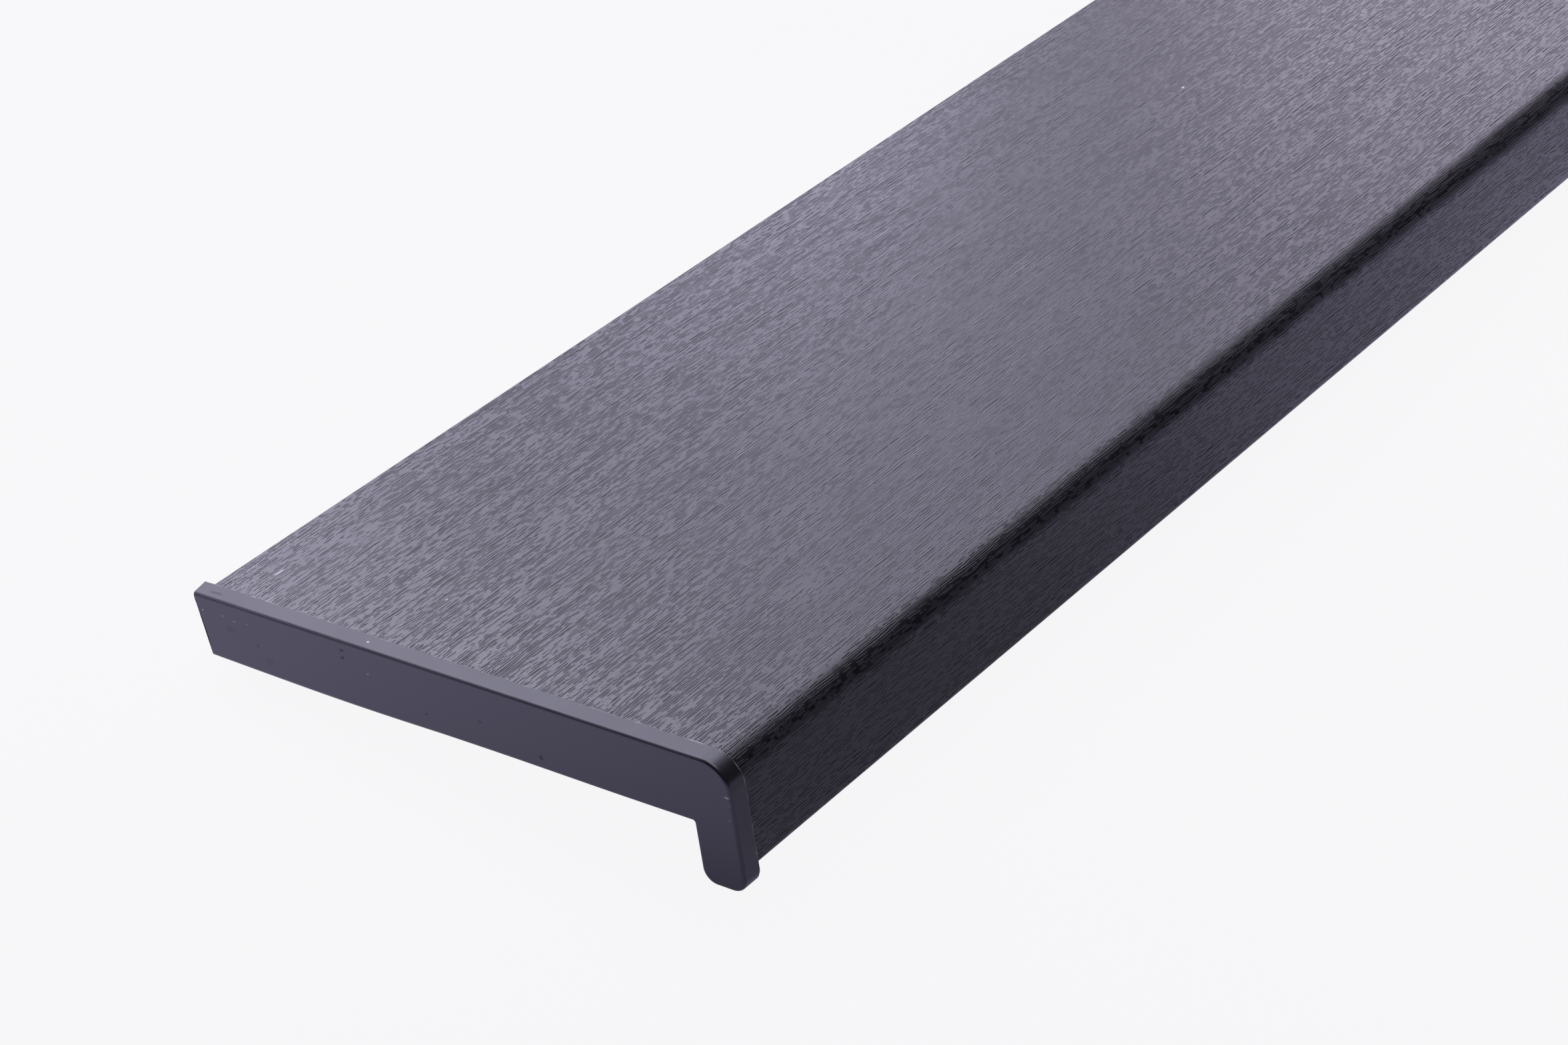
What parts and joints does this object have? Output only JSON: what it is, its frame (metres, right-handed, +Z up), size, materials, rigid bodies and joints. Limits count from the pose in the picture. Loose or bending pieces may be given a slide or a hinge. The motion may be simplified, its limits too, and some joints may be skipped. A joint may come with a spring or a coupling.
{
  "type": "window sill",
  "caption": "Hollow plastic window board with a turned-down front nose, in dark embossed wood-grain foil, with a moulded end cap on one end.",
  "frame": {"origin": "on the floor below the middle of the sill as it lies, at the bottom centre of its bounding box", "axes": "+X along the sill from the capped end to the plain end, +Y from the nose to the back edge, +Z up; the panel slopes down to the back by 4.6 degrees, as it lies on a floor"},
  "size_m": [1.0016, 0.2051, 0.0411],
  "materials": {
    "foiled_board": "anthracite foil embossed with fine wood grain along the board, satin matt",
    "cap_plastic": "smooth moulded plastic in anthracite, fine matt"
  },
  "bodies": {
    "root": {"sill_board": "foiled_board", "end_cap": "cap_plastic"}
  },
  "joints": []
}
